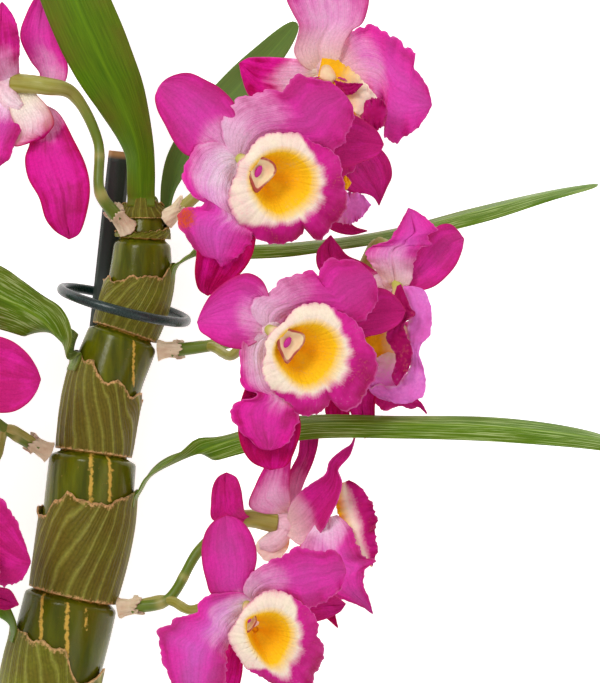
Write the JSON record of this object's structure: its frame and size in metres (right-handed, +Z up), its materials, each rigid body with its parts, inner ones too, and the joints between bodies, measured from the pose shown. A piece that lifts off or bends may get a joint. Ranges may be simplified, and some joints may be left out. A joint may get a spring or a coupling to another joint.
{
  "type": "noble dendrobium orchid stem",
  "caption": "Noble dendrobium cane with magenta flowers, golden throats and strap leaves, laid on its back with its plant stake and ring.",
  "frame": {"origin": "middle of the laid-down stem's bounding box in X and Y, on the surface that it rests on", "axes": "+Y along the cane towards its top, +X to the right seen from above, +Z up from the surface, the way the open flowers look"},
  "size_m": [0.2567, 0.2957, 0.0803],
  "materials": {
    "cane": "glossy living stem",
    "leaf": "satin leaf, its sheath papery and ribbed",
    "stalk": "satin living stem with a papery bract",
    "petals": "soft satin petal",
    "lip": "velvety petal",
    "column": "waxy",
    "stake": "satin dark green",
    "ring": "semi-gloss dark green"
  },
  "bodies": {
    "root": {"cane": "cane", "leaf_1": "leaf", "leaf_2": "leaf", "leaf_3": "leaf", "leaf_4": "leaf", "leaf_5": "leaf", "leaf_6": "leaf", "stalk_1": "stalk", "stalk_2": "stalk", "stalk_3": "stalk", "stalk_4": "stalk", "stalk_5": "stalk", "flower_a_petals": "petals", "flower_a_lip": "lip", "flower_a_column": "column", "flower_b_petals": "petals", "flower_b_lip": "lip", "flower_b_column": "column", "flower_c_petals": "petals", "flower_c_lip": "lip", "flower_c_column": "column", "flower_d_petals": "petals", "flower_d_lip": "lip", "flower_d_column": "column", "flower_e_petals": "petals", "flower_e_lip": "lip", "flower_e_column": "column", "flower_f_petals": "petals", "flower_f_lip": "lip", "flower_f_column": "column", "flower_g_petals": "petals", "flower_g_lip": "lip", "flower_g_column": "column", "flower_h_petals": "petals", "flower_h_lip": "lip", "flower_h_column": "column", "flower_i_petals": "petals", "flower_i_lip": "lip", "flower_i_column": "column", "stake": "stake", "ring": "ring"}
  },
  "joints": []
}
